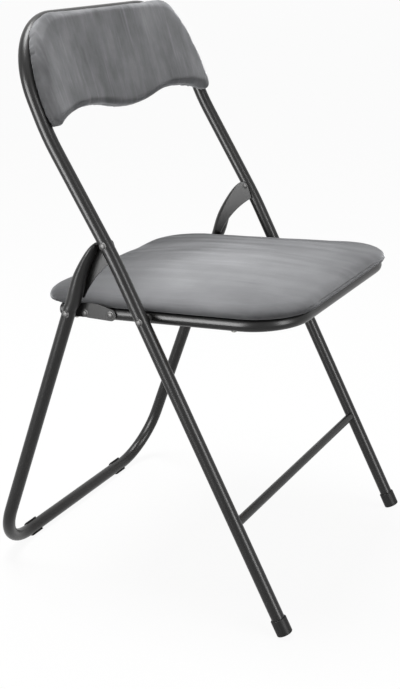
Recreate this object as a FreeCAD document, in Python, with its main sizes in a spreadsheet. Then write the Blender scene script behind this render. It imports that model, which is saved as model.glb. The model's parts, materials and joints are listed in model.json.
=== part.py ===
import FreeCAD, Part
import os
from math import asin, atan2, cos, degrees, radians, sin, sqrt

from FreeCAD import Placement, Rotation, Vector

# Folding chair of round steel tube with a padded seat and backrest.
# X runs across the chair (plus is the sitter's left), minus Y is the front, Z is up.
# The origin lies on the floor, in the middle of the chair's length and width.

DIMENSIONS = {
    # Tubes
    "tube_diameter": 18.0,
    "tube_wall": 1.5,
    "frame_width": 420.0,
    "brace_diameter": 12.0,
    "brace_wall": 1.2,
    # Front frame: distances are measured along the leg from the bottom of its foot cap
    "leg_lean": 27.7,
    "brace_height": 158.0,
    "seat_pivot_height": 446.7,
    "back_pivot_rise": 106.4,
    "lean_bend_start": 510.0,
    "lean_bend_radius": 568.0,
    "lean_bend_angle": 4.2,
    "upright_bend_start": 683.0,
    "upright_bend_radius": 330.0,
    "upright_bend_angle": 8.5,
    "back_height": 854.8,
    "back_corner_radius": 100.0,
    # Foot caps
    "cap_diameter": 21.6,
    "cap_length": 22.5,
    "cap_floor": 3.0,
    "cap_edge_radius": 2.0,
    "cap_worn_depth": 0.6,
    # Rear frame
    "rear_spread": 4.0,
    "stance_depth": 452.9,
    "fan_reach": 23.7,
    "rear_corner_radius": 78.0,
    "link_drop": 103.4,
    "flatten_start": 8.0,
    "rim_bend_start": 45.0,
    "rim_bend_radius": 215.0,
    "rim_top_rise": 4.5,
    "fan_thickness": 2.4,
    "fan_tip_radius": 6.5,
    "fan_nose_reach": 4.3,
    "fan_drop": 21.0,
    "fan_heel_reach": 32.7,
    "fan_heel_drop": 4.0,
    "fan_toe_rise": 16.0,
    "clip_wall": 2.2,
    "clip_length": 22.0,
    "clip_inset": 0.5,
    "clip_wrap": 205.0,
    "clip_turn": 53.0,
    "clip_worn_depth": 0.3,
    # Seat: distances are measured from the seat pivot along the rail
    "seat_tilt": 3.7,
    "rail_gap": 5.5,
    "rail_front_reach": 187.0,
    "rail_rear_reach": 134.0,
    "rail_corner_radius": 62.0,
    "plug_depth": 10.0,
    "plug_rim": 3.0,
    "board_thickness": 5.0,
    "board_inset": 2.0,
    "cushion_overhang": 9.0,
    "cushion_front_lip": 14.0,
    "cushion_rear_reach": 182.0,
    "cushion_corner_radius": 72.0,
    "cushion_height": 21.0,
    "screw_front_setback": 7.0,
    "screw_rear_setback": 20.0,
    "screw_diameter": 4.0,
    "screw_bite": 4.2,
    "screw_head_diameter": 8.0,
    "screw_head_height": 2.0,
    # Links
    "link_length": 54.7,
    "stop_setback": 15.7,
    "link_thickness": 2.2,
    "link_end_radius": 8.0,
    "link_crest": 4.5,
    # Rivets
    "rivet_diameter": 6.0,
    "rivet_head_diameter": 8.0,
    "rivet_head_height": 2.0,
    "rivet_tail_height": 1.2,
    "rivet_seat_depth": 0.6,
    "stop_diameter": 5.0,
    "blind_depth": 6.0,
    "spacer_diameter": 12.0,
    # Backrest
    "back_lap": 1.0,
    "back_top_drop": 3.0,
    "pad_side_radius": 150.0,
    "pad_side_turn": 35.0,
    "pad_corner_radius": 55.0,
    "panel_thickness": 1.5,
    "panel_bow": 23.0,
    "panel_low_gap": 2.8,
    "panel_top_gap": 2.7,
    "back_bottom_height": 719.5,
    "back_wave_rise": 10.2,
    "back_wave_reach": 110.0,
    "back_lobe_share": 0.545,
    "back_tab_radius": 14.0,
    "back_tab_drop": 4.5,
    "pad_thickness": 12.0,
    "pad_crown": 6.0,
    "pad_edge_radius": 5.0,
    # Clearances
    "running_gap": 0.05,
    "layer_gap": 0.3,
    "seat_gap": 0.2,
}

doc = FreeCAD.newDocument("folding_chair")
sheet = doc.addObject("Spreadsheet::Sheet", "Dimensions")
for row, (alias, number) in enumerate(DIMENSIONS.items(), start=1):
    sheet.set(f"A{row}", alias)
    sheet.set(f"B{row}", str(number))
    sheet.setAlias(f"B{row}", alias)
doc.recompute()

SIDES = {"left": 1, "right": -1}
ACROSS = Vector(1, 0, 0)
pieces = []


def size(alias):
    """A driving dimension, read from the sheet."""
    return float(getattr(sheet, alias))


def finish(thing, label):
    """Names a finished sub-part; its label is the name of its file."""
    thing.Label = label
    pieces.append(thing)
    return thing


# Small builders


def cylinder(name, radius, height, frame):
    """Round bar along Z of its frame; radius and height are expressions on the sheet."""
    bar = doc.addObject("Part::Cylinder", name)
    bar.setExpression("Radius", radius)
    bar.setExpression("Height", height)
    bar.Placement = frame
    return bar


def dome(name, radius, height, frame):
    """Cap of a sphere on the XY plane of its frame; its height is an alias of the sheet."""
    ball = doc.addObject("Part::Sphere", name)
    ball.setExpression("Radius", f"(({radius})^2 + Dimensions.{height}^2) / (2 * Dimensions.{height})")
    doc.recompute()
    below = ball.Radius.Value - size(height)
    ball.Angle1 = degrees(asin(below / ball.Radius.Value))
    ball.Placement = frame.multiply(Placement(Vector(0, 0, -below), Rotation()))
    return ball


def cut(name, base, tools):
    """Base with all tools taken away."""
    result = doc.addObject("Part::Cut", name)
    result.Base = base
    result.Tool = tools[0] if len(tools) == 1 else fuse(name + "_tools", tools)
    return result


def fuse(name, shapes):
    """Several overlapping solids as one."""
    result = doc.addObject("Part::MultiFuse", name)
    result.Shapes = shapes
    return result


def arc(start, middle, end):
    """Arc edge through three points."""
    return Part.Arc(start, middle, end).toShape()


def line(start, end):
    """Straight edge."""
    return Part.LineSegment(start, end).toShape()


def bend(start, direction, toward, radius, angle):
    """Arc that leaves start along direction and turns toward another way; its end and end direction."""
    def at(turn):
        return start + direction * (radius * sin(turn)) + toward * (radius * (1 - cos(turn)))
    return arc(start, at(angle / 2), at(angle)), at(angle), direction * cos(angle) + toward * sin(angle)


def mirrored(edges):
    """The same edges on the other side of the chair."""
    return [edge.mirror(Vector(), ACROSS) for edge in edges]


def bent_tube(name, edges, start, direction):
    """Hollow tube along straight runs and tangent arcs, from start."""
    path = doc.addObject("Part::Feature", name + "_path")
    path.Shape = Part.Wire(Part.sortEdges(edges)[0])
    spine = [f"Edge{k + 1}" for k in range(len(path.Shape.Edges))]
    skins = []
    for skin, radius in (("outside", "Dimensions.tube_diameter / 2"),
                         ("bore", "Dimensions.tube_diameter / 2 - Dimensions.tube_wall")):
        ring = doc.addObject("Part::Circle", f"{name}_{skin}_ring")
        ring.setExpression("Radius", radius)
        ring.Placement = Placement(start, Rotation(Vector(0, 0, 1), direction))
        sweep = doc.addObject("Part::Sweep", f"{name}_{skin}")
        sweep.Sections = [ring]
        sweep.Spine = (path, spine)
        sweep.Solid = True
        skins.append(sweep)
    return cut(name + "_hollow", skins[0], [skins[1]])


def across(side, inner, point):
    """Frame whose Z points outward across the chair, at distance inner from the middle plane."""
    return Placement(Vector(side * inner, point.y, point.z), Rotation(Vector(0, 1, 0), 90 * side))


# Places worked out from the driving dimensions

tube_r = size("tube_diameter") / 2
side_x = size("frame_width") / 2
inner_x = side_x - tube_r
rear_x = side_x + size("rear_spread") / 2
leg_lean = radians(size("leg_lean"))

cap_r = size("cap_diameter") / 2
cap_edge = size("cap_edge_radius")
cap_rise = (cap_r - cap_edge) * sin(leg_lean) + cap_edge * (1 - cos(leg_lean)) - size("cap_worn_depth")
cap_reach = (cap_r - cap_edge) * cos(leg_lean) + cap_edge * (1 - sin(leg_lean))
clip_r = tube_r + size("clip_wall")
middle_y = (size("stance_depth") + clip_r - cap_reach) / 2

leg_up = Vector(0, sin(leg_lean), cos(leg_lean))
leg_rearward = Vector(0, cos(leg_lean), -sin(leg_lean))
foot = Vector(0, -middle_y, cap_rise)
leg_frame = Placement(foot, Rotation(ACROSS, -size("leg_lean")))
seat_pivot = foot + leg_up * size("seat_pivot_height")
brace_point = foot + leg_up * size("brace_height")


def on_front_tube(distance):
    """Axis point and upward direction of the front tube below its upright bend, by distance from the foot."""
    past_bend = distance - size("lean_bend_start")
    if past_bend <= 0:
        return foot + leg_up * distance, leg_up
    radius = size("lean_bend_radius")
    turn = min(past_bend / radius, radians(size("lean_bend_angle")))
    bend_start = foot + leg_up * size("lean_bend_start")
    _, point, direction = bend(bend_start, leg_up, leg_rearward, radius, turn)
    return point + direction * (past_bend - radius * turn), direction


back_pivot, back_pivot_up = on_front_tube(size("seat_pivot_height") + size("back_pivot_rise"))

# The rear legs run straight from the floor bar to a point behind the back pivot
rear_bar = Vector(0, size("stance_depth") - middle_y, clip_r - size("clip_worn_depth"))
rear_top = back_pivot + Vector(0, size("fan_reach"), 0)
rear_up = (rear_top - rear_bar).normalize()
rear_forward = Vector(0, -rear_up.z, rear_up.y)
link_pivot = rear_top - rear_up * size("link_drop")
rim_end = size("link_drop") + size("rim_top_rise")
clip_x = rear_x - size("rear_corner_radius") - size("clip_inset") - size("clip_length") / 2

seat_frame = Placement(seat_pivot, Rotation(ACROSS, -size("seat_tilt")))
rail_face = inner_x - size("rail_gap")
rail_x = rail_face - tube_r
cushion_half = rail_x + size("cushion_overhang")
cushion_front = size("rail_front_reach") + size("cushion_front_lip")


def on_seat(x, rearward, upward):
    """Point given across, behind the seat pivot along the rail and above the rail's axis."""
    return seat_frame.multVec(Vector(x, rearward, upward))


# Each link runs forward from the rear leg to the rail's axis
link_end = seat_frame.inverse().multVec(link_pivot)
link_point = on_seat(0, link_end.y - sqrt(size("link_length") ** 2 - link_end.z ** 2), 0)
stop_point = on_seat(0, link_end.y - size("stop_setback"), 0)

# Layers between the seat rail and the inner face of the frame tubes
link_inner = rail_face + size("layer_gap")
link_outer = link_inner + size("link_thickness")
head_inner = link_outer + size("layer_gap")
fan_outer = inner_x - size("layer_gap")
fan_inner = fan_outer - size("fan_thickness")


def drill(name, radius, side, inner, outer, point):
    """Cross hole between two distances from the middle plane."""
    hole = doc.addObject("Part::Cylinder", name)
    hole.setExpression("Radius", f"{radius} + Dimensions.running_gap")
    hole.Height = outer - inner
    hole.Placement = across(side, inner, point)
    return hole


def head_seat(tube_x):
    """Distance from the middle plane of the flat pressed into a tube under a rivet head."""
    return tube_x + tube_r - size("rivet_seat_depth")


def pivot_holes(name, point, tube_x):
    """Rivet holes and pressed head seats through both sides of a frame."""
    tools = []
    for side_name, side in SIDES.items():
        tools.append(drill(f"{name}_hole_{side_name}", "Dimensions.rivet_diameter / 2", side,
                           tube_x - 2 * tube_r, tube_x + 2 * tube_r, point))
        tools.append(cylinder(f"{name}_seat_{side_name}",
                              "Dimensions.rivet_head_diameter / 2 + Dimensions.seat_gap",
                              "Dimensions.tube_diameter", across(side, head_seat(tube_x), point)))
    return tools


# Front frame: one tube that makes both front legs and the back


def front_tube():
    inward = Vector(-1, 0, 0)
    start = foot + leg_up * size("cap_floor") + ACROSS * side_x
    bend_start = foot + leg_up * size("lean_bend_start") + ACROSS * side_x
    turn = radians(size("lean_bend_angle"))
    first, point, direction = bend(bend_start, leg_up, leg_rearward, size("lean_bend_radius"), turn)
    straight = size("upright_bend_start") - size("lean_bend_start") - size("lean_bend_radius") * turn
    second_start = point + direction * straight
    turn_back = radians(size("upright_bend_angle"))
    forward = Vector(0, -direction.z, direction.y)
    second, upper, back_up = bend(second_start, direction, forward, size("upright_bend_radius"), turn_back)
    used = size("upright_bend_start") + size("upright_bend_radius") * turn_back
    corner_radius = size("back_corner_radius")
    corner_start = upper + back_up * (size("back_height") - corner_radius - used)
    corner, top, _ = bend(corner_start, back_up, inward, corner_radius, radians(90))
    half = [line(start, bend_start), first, line(point, second_start), second]
    half += [line(upper, corner_start), corner]
    top_bar = line(top, Vector(-top.x, top.y, top.z))
    tube = bent_tube("front_tube", half + [top_bar] + mirrored(half), start, leg_up)
    holes = pivot_holes("front_back_pivot", back_pivot, side_x)
    holes += pivot_holes("front_seat_pivot", seat_pivot, side_x)
    finish(cut("front_tube_drilled", tube, holes), "front_frame_tube")
    lean = size("leg_lean") + size("lean_bend_angle") - size("upright_bend_angle")
    middle = Vector(0, corner_start.y, corner_start.z)
    along = size("back_height") - corner_radius
    return Placement(middle - back_up * along, Rotation(ACROSS, -lean))


def front_brace():
    """Thin cross tube, cut at both ends to the round of the legs."""
    frame = Placement(Vector(-side_x, brace_point.y, brace_point.z), Rotation(Vector(0, 1, 0), 90))
    outside = cylinder("brace_outside", "Dimensions.brace_diameter / 2", "Dimensions.frame_width", frame)
    bore = cylinder("brace_bore", "Dimensions.brace_diameter / 2 - Dimensions.brace_wall",
                    "Dimensions.frame_width", frame)
    tools = [bore]
    for side_name, side in SIDES.items():
        below = leg_frame.multiply(Placement(Vector(side * side_x, 0, size("brace_height") / 2), Rotation()))
        tools.append(cylinder(f"brace_cope_{side_name}",
                              "Dimensions.tube_diameter / 2 + Dimensions.running_gap",
                              "Dimensions.brace_height", below))
    finish(cut("brace", outside, tools), "front_cross_brace")


def below_floor(name):
    """Everything under the floor near the feet."""
    slab = doc.addObject("Part::Box", name)
    slab.setExpression("Length", "Dimensions.frame_width * 2")
    slab.setExpression("Width", "Dimensions.stance_depth * 2")
    slab.setExpression("Height", "Dimensions.cap_length")
    slab.Placement.Base = Vector(-size("frame_width"), -size("stance_depth"), -size("cap_length"))
    return slab


def foot_caps():
    for side_name, side in SIDES.items():
        frame = leg_frame.multiply(Placement(Vector(side * side_x, 0, 0), Rotation()))
        block = cylinder(f"cap_block_{side_name}", "Dimensions.cap_diameter / 2", "Dimensions.cap_length",
                         frame)
        doc.recompute()
        rims = [k for k, edge in enumerate(block.Shape.Edges, start=1) if isinstance(edge.Curve, Part.Circle)]
        rounded = doc.addObject("Part::Fillet", f"cap_rounded_{side_name}")
        rounded.Base = block
        low = min(rims, key=lambda k: block.Shape.Edges[k - 1].CenterOfMass.z)
        lip = (cap_r - tube_r - size("running_gap")) / 2
        rounded.Edges = [(k, cap_edge, cap_edge) if k == low else (k, lip, lip) for k in rims]
        bore_frame = frame.multiply(Placement(Vector(0, 0, size("cap_floor")), Rotation()))
        bore = cylinder(f"cap_bore_{side_name}", "Dimensions.tube_diameter / 2 + Dimensions.running_gap",
                        "Dimensions.cap_length", bore_frame)
        floor = below_floor(f"cap_floor_{side_name}")
        finish(cut(f"cap_{side_name}", rounded, [bore, floor]), f"foot_cap_{side_name}")


# Rivets and spacers at the pivots of the front frame


def rivet(name, side, point, inner, outer, radius, head_at, tail=True):
    """Rivet from inner to outer with a domed head outside and, where it shows, a low tail inside."""
    shank = doc.addObject("Part::Cylinder", name + "_shank")
    shank.setExpression("Radius", radius)
    shank.Height = outer - inner
    shank.Placement = across(side, inner, point)
    solids = [shank, dome(name + "_head", "Dimensions.rivet_head_diameter / 2", "rivet_head_height",
                          across(side, head_at, point))]
    if tail:
        solids.append(dome(name + "_tail", "Dimensions.rivet_head_diameter / 2", "rivet_tail_height",
                           across(-side, -inner, point)))
    return fuse(name, solids)


def pivot_rivets():
    head_at = head_seat(side_x)
    rail_back = rail_x - tube_r
    for side_name, side in SIDES.items():
        finish(rivet(f"back_rivet_{side_name}", side, back_pivot, fan_inner - size("seat_gap"), head_at,
                     "Dimensions.rivet_diameter / 2", head_at), f"back_pivot_rivet_{side_name}")
        finish(rivet(f"seat_rivet_{side_name}", side, seat_pivot, rail_back - size("seat_gap"), head_at,
                     "Dimensions.rivet_diameter / 2", head_at), f"seat_pivot_rivet_{side_name}")
        spacer = doc.addObject("Part::Cylinder", f"spacer_block_{side_name}")
        spacer.setExpression("Radius", "Dimensions.spacer_diameter / 2")
        spacer.setExpression("Height", "Dimensions.rail_gap - 2 * Dimensions.seat_gap")
        spacer.Placement = across(side, rail_face + size("seat_gap"), seat_pivot)
        hole = drill(f"spacer_hole_{side_name}", "Dimensions.rivet_diameter / 2", side, rail_face, inner_x,
                     seat_pivot)
        finish(cut(f"spacer_{side_name}", spacer, [hole]), f"seat_spacer_{side_name}")


# Rear frame: one tube with a floor bar, whose flattened tops hang on the front frame


def rear_tube():
    top = link_pivot + rear_up * size("flatten_start") + ACROSS * rear_x
    radius = size("rear_corner_radius")
    corner_start = rear_bar + rear_up * radius + ACROSS * rear_x
    corner, bar_start, _ = bend(corner_start, rear_up * -1, Vector(-1, 0, 0), radius, radians(90))
    half = [line(top, corner_start), corner]
    floor_bar = line(bar_start, Vector(-bar_start.x, bar_start.y, bar_start.z))
    solids = [bent_tube("rear_tube", half + [floor_bar] + mirrored(half), top, rear_up * -1)]

    def on_rim(along):
        """Middle of the rim in the side plane and its direction, at a distance above the link pivot."""
        turn = max(0.0, along - size("rim_bend_start")) / size("rim_bend_radius")
        base = link_pivot + rear_up * min(along, size("rim_bend_start"))
        _, point, direction = bend(base, rear_up, rear_forward, size("rim_bend_radius"), turn) if turn else (
            None, base, rear_up)
        return point, direction

    # Towards the top the tube's front half is pressed flat inwards and its rear half stays a rim:
    # share of the way up, half depth as a share of the tube radius, half width across the chair likewise
    taper = ((0.0, 1.0, 1.0), (0.18, 1.1, 1.15), (0.42, 1.0, 1.2), (0.72, 0.7, 1.2), (0.93, 0.45, 0.95),
             (1.0, 0.22, 0.5))
    rim_x = fan_outer - size("fan_thickness") / 4 + tube_r * taper[3][2]
    for side_name, side in SIDES.items():
        rings = []
        for number, (share, depth, width) in enumerate(taper):
            along = size("flatten_start") + (rim_end - size("flatten_start")) * share
            middle = rear_x if number == 0 else rim_x
            point, direction = on_rim(along)
            # Where the tube is pressed wider, it grows to the front
            point += rear_forward * (tube_r * max(0.0, depth - 1))
            ring = doc.addObject("Part::Ellipse", f"rim_ring_{side_name}_{number}")
            ring.MajorRadius = tube_r * max(width, depth)
            ring.MinorRadius = tube_r * min(width, depth)
            turn = Rotation(ACROSS, Vector(), direction, "ZXY")
            ring.Placement = Placement(point + ACROSS * (side * middle), turn)
            rings.append(ring)
        rim = doc.addObject("Part::Loft", f"rim_{side_name}")
        rim.Sections = rings
        rim.Solid = True
        solids.append(rim)
        solids.append(fan_plate(side_name, side, on_rim))
    holes = pivot_holes("rear_link_pivot", link_pivot, rear_x)
    for side_name, side in SIDES.items():
        holes.append(drill(f"fan_hole_{side_name}", "Dimensions.rivet_diameter / 2", side, fan_inner - tube_r,
                           inner_x, back_pivot))
    finish(cut("rear_tube_drilled", fuse("rear_tube_whole", solids), holes), "rear_frame_tube")


def fan_plate(side_name, side, on_rim):
    """Flat sheet between the rim and the pivot, trimmed along the front tube, with a hollow lower edge."""
    up = back_pivot_up
    forward = Vector(0, -up.z, up.y)
    root, _ = on_rim(size("flatten_start") + size("fan_toe_rise"))
    middle, _ = on_rim((size("rim_bend_start") + rim_end) / 2)
    top, _ = on_rim(rim_end - size("fan_thickness"))
    tip = back_pivot + up * size("fan_tip_radius")
    nose = back_pivot + forward * size("fan_nose_reach")
    front = back_pivot - up * size("fan_drop")
    heel = front - forward * size("fan_heel_reach") - up * size("fan_heel_drop")
    toe = root + rear_forward * tube_r
    outline = [arc(root, middle, top), arc(top, tip, nose), line(nose, front), arc(front, heel, toe)]
    outline.append(line(toe, root))
    shape = doc.addObject("Part::Feature", f"fan_outline_{side_name}")
    shape.Shape = Part.Wire(outline)
    shape.Placement = Placement(Vector(fan_inner if side > 0 else -fan_outer, 0, 0), Rotation())
    fan = doc.addObject("Part::Extrusion", f"fan_{side_name}")
    fan.Base = shape
    fan.DirMode = "Custom"
    fan.Dir = ACROSS
    fan.Solid = True
    fan.setExpression("LengthFwd", "Dimensions.fan_thickness")
    return fan


def floor_clips():
    """Sprung C shapes round the floor bar, open to the front, worn flat underneath."""
    for side_name, side in SIDES.items():
        start = side * clip_x - size("clip_length") / 2
        first = size("clip_turn") - size("clip_wrap") / 2
        turn = Rotation(Vector(0, 1, 0), 90).multiply(Rotation(Vector(0, 0, 1), first))
        frame = Placement(Vector(start, rear_bar.y, rear_bar.z), turn)
        band = cylinder(f"clip_band_{side_name}", "Dimensions.tube_diameter / 2 + Dimensions.clip_wall",
                        "Dimensions.clip_length", frame)
        band.setExpression("Angle", "Dimensions.clip_wrap")
        bore = cylinder(f"clip_bore_{side_name}", "Dimensions.tube_diameter / 2 + Dimensions.running_gap",
                        "Dimensions.clip_length", frame)
        finish(cut(f"clip_{side_name}", band, [bore, below_floor(f"clip_floor_{side_name}")]),
               f"floor_clip_{side_name}")


def link_rivets():
    """Outer halves of the link rivets: head, shank through the rear leg and a shoulder inside it."""
    head_at = head_seat(rear_x)
    for side_name, side in SIDES.items():
        finish(rivet(f"link_rivet_{side_name}", side, link_pivot, head_inner, head_at,
                     "Dimensions.rivet_diameter / 2", head_at, tail=False), f"link_rivet_{side_name}")


# Seat


def seat_rail():
    front = -size("rail_front_reach")
    rear = size("rail_rear_reach")
    radius = size("rail_corner_radius")
    forward = seat_frame.Rotation.multVec(Vector(0, -1, 0))
    start = on_seat(rail_x, rear, 0)
    corner_start = on_seat(rail_x, front + radius, 0)
    corner, bar_start, _ = bend(corner_start, forward, Vector(-1, 0, 0), radius, radians(90))
    half = [line(start, corner_start), corner]
    bar = line(bar_start, Vector(-bar_start.x, bar_start.y, bar_start.z))
    tube = bent_tube("rail", half + [bar] + mirrored(half), start, forward)
    holes = []
    for side_name, side in SIDES.items():
        rivet_r = "Dimensions.rivet_diameter / 2"
        holes.append(drill(f"rail_pivot_{side_name}", rivet_r, side, rail_x - 2 * tube_r, inner_x,
                           seat_pivot))
        holes.append(drill(f"rail_link_{side_name}", rivet_r, side, rail_x, inner_x, link_point))
        holes.append(drill(f"rail_stop_{side_name}", "Dimensions.stop_diameter / 2", side, rail_x, inner_x,
                           stop_point))
        for place, rearward in screw_places():
            hole = doc.addObject("Part::Cylinder", f"rail_screw_{place}_{side_name}")
            hole.setExpression("Radius", "Dimensions.screw_diameter / 2 + Dimensions.running_gap")
            hole.setExpression("Height", "Dimensions.tube_diameter * 2")
            low = Vector(side * rail_x, rearward, -2 * tube_r)
            hole.Placement = seat_frame.multiply(Placement(low, Rotation()))
            holes.append(hole)
    finish(cut("rail_drilled", tube, holes), "seat_rail_tube")


def screw_places():
    """The two screw stations of each rail's straight run, behind the seat pivot."""
    front = size("screw_front_setback") + size("rail_corner_radius") - size("rail_front_reach")
    return (("front", front), ("rear", size("rail_rear_reach") - size("screw_rear_setback")))


def rail_plugs():
    """Rounded plugs in the open rear ends of the rail."""
    for side_name, side in SIDES.items():
        turn = Rotation(ACROSS, -90)
        end = seat_frame.multiply(Placement(Vector(side * rail_x, size("rail_rear_reach"), 0), turn))
        stem_frame = end.multiply(Placement(Vector(0, 0, -size("plug_depth")), Rotation()))
        stem = cylinder(f"plug_stem_{side_name}",
                        "Dimensions.tube_diameter / 2 - Dimensions.tube_wall - Dimensions.running_gap",
                        "Dimensions.plug_depth + Dimensions.plug_rim / 2", stem_frame)
        rim = dome(f"plug_rim_{side_name}", "Dimensions.tube_diameter / 2", "plug_rim", end)
        finish(fuse(f"plug_{side_name}", [stem, rim]), f"rail_plug_{side_name}")


def seat_outline(inset, height):
    """Rounded rectangle of the seat, drawn in by inset, as lines and quarter arcs."""
    half = cushion_half - inset
    front = -cushion_front + inset
    rear = size("cushion_rear_reach") - inset
    radius = max(size("cushion_corner_radius") - inset, size("cushion_corner_radius") / 3)
    edges = []
    corners = ((half, rear, 1, 1), (-half, rear, -1, 1), (-half, front, -1, -1), (half, front, 1, -1))
    ends = []
    for x, y, sx, sy in corners:
        centre = Vector(x - sx * radius, y - sy * radius, height)
        side_point = Vector(x, y - sy * radius, height)
        end_point = Vector(x - sx * radius, y, height)
        middle = centre + Vector(sx, sy, 0) * (radius / sqrt(2))
        ends.append((side_point, middle, end_point) if sx * sy > 0 else (end_point, middle, side_point))
    for number, (start, middle, end) in enumerate(ends):
        edges.append(arc(start, middle, end))
        edges.append(line(end, ends[(number + 1) % 4][0]))
    return edges


def seat_board():
    """Plywood board that lies on the rail and carries the pad."""
    low = tube_r + size("seat_gap")
    body = doc.addObject("PartDesign::Body", "seat_board_body")
    plane = next(item for item in body.Origin.OriginFeatures if item.Role == "XY_Plane")
    sketch = body.newObject("Sketcher::SketchObject", "seat_board_sketch")
    sketch.AttachmentSupport = [(plane, "")]
    sketch.MapMode = "FlatFace"
    for edge in seat_outline(size("board_inset"), 0):
        curve = edge.Curve
        if isinstance(curve, Part.Circle):
            sketch.addGeometry(Part.ArcOfCircle(curve, edge.FirstParameter, edge.LastParameter), False)
        else:
            sketch.addGeometry(Part.LineSegment(edge.Vertexes[0].Point, edge.Vertexes[1].Point), False)
    pad = body.newObject("PartDesign::Pad", "seat_board_pad")
    pad.Profile = sketch
    pad.setExpression("Length", "Dimensions.board_thickness")
    doc.recompute()
    holes = body.newObject("Sketcher::SketchObject", "seat_board_holes")
    holes.AttachmentSupport = [(plane, "")]
    holes.MapMode = "FlatFace"
    pilot = size("screw_diameter") / 2 + size("running_gap")
    for side in SIDES.values():
        for _, rearward in screw_places():
            holes.addGeometry(Part.Circle(Vector(side * rail_x, rearward, 0), Vector(0, 0, 1), pilot), False)
    pocket = body.newObject("PartDesign::Pocket", "seat_board_pilots")
    pocket.Profile = holes
    pocket.setExpression("Length", "Dimensions.screw_bite")
    pocket.Reversed = True
    body.Tip = pocket
    body.Placement = seat_frame.multiply(Placement(Vector(0, 0, low), Rotation()))
    finish(body, "seat_board")


def seat_screws():
    """Pan-head screws from under the rail into the board."""
    for side_name, side in SIDES.items():
        for place, rearward in screw_places():
            name = f"seat_screw_{place}_{side_name}"
            base = seat_frame.multiply(Placement(Vector(side * rail_x, rearward, -tube_r), Rotation()))
            shank = cylinder(name + "_shank", "Dimensions.screw_diameter / 2",
                             "Dimensions.tube_diameter + Dimensions.screw_bite", base)
            head = dome(name + "_head", "Dimensions.screw_head_diameter / 2", "screw_head_height",
                        base.multiply(Placement(Vector(), Rotation(ACROSS, 180))))
            finish(fuse(name, [shank, head]), f"seat_screw_{place}_{side_name}")


def seat_cushion():
    """Padded seat: sides drawn in below, fullest low down, with a long crown."""
    low = tube_r + size("seat_gap") + size("board_thickness") + size("seat_gap")
    full = size("cushion_height")
    shorter_half = min(cushion_half, (cushion_front + size("cushion_rear_reach")) / 2)
    # Share of the height, and how far the outline is drawn in there as a share of the shorter half
    profile = ((0.0, 0.005), (0.09, 0.006), (0.19, 0.021), (0.27, 0.047), (0.35, 0.092), (0.48, 0.184),
               (0.67, 0.332), (0.87, 0.537), (1.0, 0.767))
    sections = []
    for number, (rise, inset) in enumerate(profile):
        section = doc.addObject("Part::Feature", f"cushion_section_{number}")
        section.Shape = Part.Wire(seat_outline(inset * shorter_half, low + rise * full))
        section.Placement = seat_frame
        sections.append(section)
    loft = doc.addObject("Part::Loft", "cushion_loft")
    loft.Sections = sections
    loft.Solid = True
    finish(loft, "seat_cushion")


def rail_pins():
    """Link pivots and stop pins, riveted into the outer wall of the rail."""
    for side_name, side in SIDES.items():
        finish(rivet(f"pin_{side_name}", side, link_point, rail_face - size("blind_depth"), head_inner,
                     "Dimensions.rivet_diameter / 2", head_inner, tail=False), f"link_pin_{side_name}")
        finish(rivet(f"stop_{side_name}", side, stop_point, rail_face - size("blind_depth"), head_inner,
                     "Dimensions.stop_diameter / 2", head_inner, tail=False), f"stop_pin_{side_name}")


# Links between the seat rail and the rear legs


def links():
    """Stamped plates with an arched back; a notch under each hooks over the stop pin."""
    reach = (link_pivot - link_point).Length
    pitch = degrees(atan2(link_pivot.z - link_point.z, link_pivot.y - link_point.y))
    end_r = size("link_end_radius")
    crest = end_r + size("link_crest")
    frame_turn = Rotation(ACROSS, pitch)
    frame = Placement(link_point, frame_turn)
    stop = frame.inverse().multVec(stop_point)
    slot = size("stop_diameter") / 2 + size("layer_gap")
    front_top = Vector(0, 0, end_r)
    rear_top = Vector(0, reach, end_r)
    notch_left = Vector(0, stop.y - slot, 0)
    notch_right = Vector(0, stop.y + slot, 0)
    outline = [
        arc(front_top, Vector(0, -end_r, 0), Vector(0, 0, -end_r)),
        line(Vector(0, 0, -end_r), notch_left + Vector(0, 0, -end_r)),
        line(notch_left + Vector(0, 0, -end_r), notch_left + Vector(0, 0, stop.z)),
        arc(notch_left + Vector(0, 0, stop.z), Vector(0, stop.y, stop.z + slot),
            notch_right + Vector(0, 0, stop.z)),
        line(notch_right + Vector(0, 0, stop.z), notch_right + Vector(0, 0, -end_r)),
        line(notch_right + Vector(0, 0, -end_r), Vector(0, reach, -end_r)),
        arc(Vector(0, reach, -end_r), Vector(0, reach + end_r, 0), rear_top),
        arc(rear_top, Vector(0, reach / 2, crest), front_top),
    ]
    for side_name, side in SIDES.items():
        x = link_inner if side > 0 else -link_outer
        shape = doc.addObject("Part::Feature", f"link_outline_{side_name}")
        shape.Shape = Part.Wire(outline)
        shape.Placement = Placement(link_point + ACROSS * x, frame_turn)
        plate = doc.addObject("Part::Extrusion", f"link_plate_{side_name}")
        plate.Base = shape
        plate.DirMode = "Custom"
        plate.Dir = ACROSS
        plate.Solid = True
        plate.setExpression("LengthFwd", "Dimensions.link_thickness")
        holes = [drill(f"link_{name}_{side_name}", "Dimensions.rivet_diameter / 2", side, rail_face, inner_x,
                       point)
                 for name, point in (("front_hole", link_point), ("rear_hole", link_pivot))]
        finish(cut(f"link_{side_name}_drilled", plate, holes), f"link_{side_name}")
        end = cylinder(f"link_end_{side_name}_shank", "Dimensions.rivet_diameter / 2",
                       "Dimensions.link_thickness", across(side, link_inner, link_pivot))
        finish(end, f"link_end_{side_name}")


# Backrest


def circle_join(low, peak, low_radius, peak_radius):
    """Touching point of a bowl with its lowest point at low and a hump with its top at peak."""
    bowl = low + Vector(0, 0, low_radius)
    hump = peak - Vector(0, 0, peak_radius)
    return bowl + (hump - bowl) * (low_radius / (low_radius + peak_radius)), bowl, hump


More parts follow.
